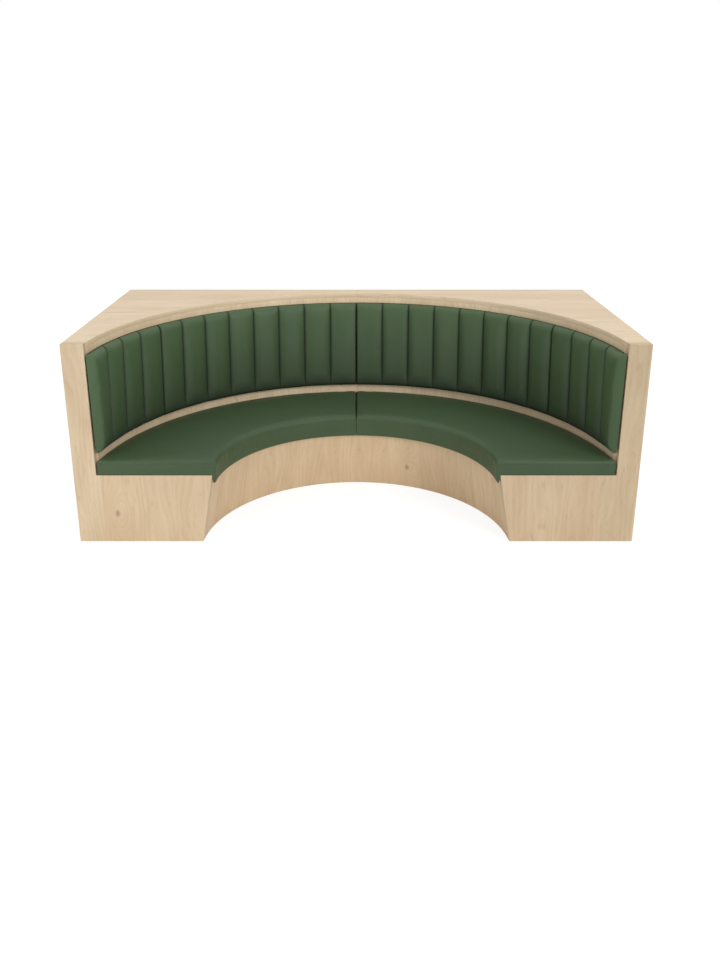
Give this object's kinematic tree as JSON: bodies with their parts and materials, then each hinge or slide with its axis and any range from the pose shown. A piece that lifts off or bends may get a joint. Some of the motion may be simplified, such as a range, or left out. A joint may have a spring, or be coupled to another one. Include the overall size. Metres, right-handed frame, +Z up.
{
  "type": "half-round banquette bench",
  "caption": "Half-round booth bench: oak-veneered box carcass, leaning curved back wall, channelled back cushions that hang on clips, and skirted seat cushions that lift off.",
  "frame": {"origin": "middle of the bench's rectangular footprint, on the floor", "axes": "+X along the bench to the sitter-facing viewer's right, +Y from the open front to the back, +Z up"},
  "size_m": [3, 1.46, 1.105],
  "materials": {
    "oak_veneer": "matte",
    "birch_plywood": "matte",
    "softwood": "matte",
    "green_leatherette": "satin",
    "zinc_steel": "satin",
    "nylon": "satin"
  },
  "bodies": {
    "carcass": {"arm_post_left": "softwood", "arm_post_right": "softwood", "corner_blocks_left": "softwood", "corner_blocks_right": "softwood", "deck_board_left": "birch_plywood", "deck_board_right": "birch_plywood", "end_panel_left": "oak_veneer", "end_panel_right": "oak_veneer", "frame_left_centre": "birch_plywood", "frame_left_middle": "birch_plywood", "frame_left_outer": "birch_plywood", "frame_right_centre": "birch_plywood", "frame_right_middle": "birch_plywood", "frame_right_outer": "birch_plywood", "module_bolts": "zinc_steel", "module_nuts": "zinc_steel", "plinth_panel_left": "oak_veneer", "plinth_panel_right": "oak_veneer", "rear_panel_left": "oak_veneer", "rear_panel_right": "oak_veneer", "rear_screws_left": "zinc_steel", "rear_screws_right": "zinc_steel", "side_panel_left": "oak_veneer", "side_panel_right": "oak_veneer", "top_board_left": "oak_veneer", "top_board_right": "oak_veneer", "wall_clips_left": "zinc_steel", "wall_clips_right": "zinc_steel", "wall_panel_left_inner": "oak_veneer", "wall_panel_left_outer": "oak_veneer", "wall_panel_right_inner": "oak_veneer", "wall_panel_right_outer": "oak_veneer", "wall_stud_left": "softwood", "wall_stud_right": "softwood"},
    "seat_left": {"seat_pad_left": "green_leatherette", "seat_board_left": "birch_plywood", "nosing_board_left": "birch_plywood", "seat_pegs_left": "nylon"},
    "seat_right": {"seat_pad_right": "green_leatherette", "seat_board_right": "birch_plywood", "nosing_board_right": "birch_plywood", "seat_pegs_right": "nylon"},
    "back_left_inner": {"back_pad_left_inner": "green_leatherette", "back_board_left_inner": "birch_plywood", "pad_clips_left_inner": "zinc_steel"},
    "back_left_outer": {"back_pad_left_outer": "green_leatherette", "back_board_left_outer": "birch_plywood", "pad_clips_left_outer": "zinc_steel"},
    "back_right_inner": {"back_pad_right_inner": "green_leatherette", "back_board_right_inner": "birch_plywood", "pad_clips_right_inner": "zinc_steel"},
    "back_right_outer": {"back_pad_right_outer": "green_leatherette", "back_board_right_outer": "birch_plywood", "pad_clips_right_outer": "zinc_steel"}
  },
  "joints": [
    {"name": "seat_left_lift", "type": "slide", "parent": "carcass", "child": "seat_left", "axis": [0, 0, 1], "range_m": [0, 0.038]},
    {"name": "seat_right_lift", "type": "slide", "parent": "carcass", "child": "seat_right", "axis": [0, 0, 1], "range_m": [0, 0.038]},
    {"name": "back_left_inner_lift", "type": "slide", "parent": "carcass", "child": "back_left_inner", "axis": [0, 0.1101, 0.9939], "range_m": [0, 0.014]},
    {"name": "back_left_outer_lift", "type": "slide", "parent": "carcass", "child": "back_left_outer", "axis": [0, 0.1101, 0.9939], "range_m": [0, 0.014]},
    {"name": "back_right_inner_lift", "type": "slide", "parent": "carcass", "child": "back_right_inner", "axis": [0, 0.1101, 0.9939], "range_m": [0, 0.014]},
    {"name": "back_right_outer_lift", "type": "slide", "parent": "carcass", "child": "back_right_outer", "axis": [0, 0.1101, 0.9939], "range_m": [0, 0.014]}
  ]
}
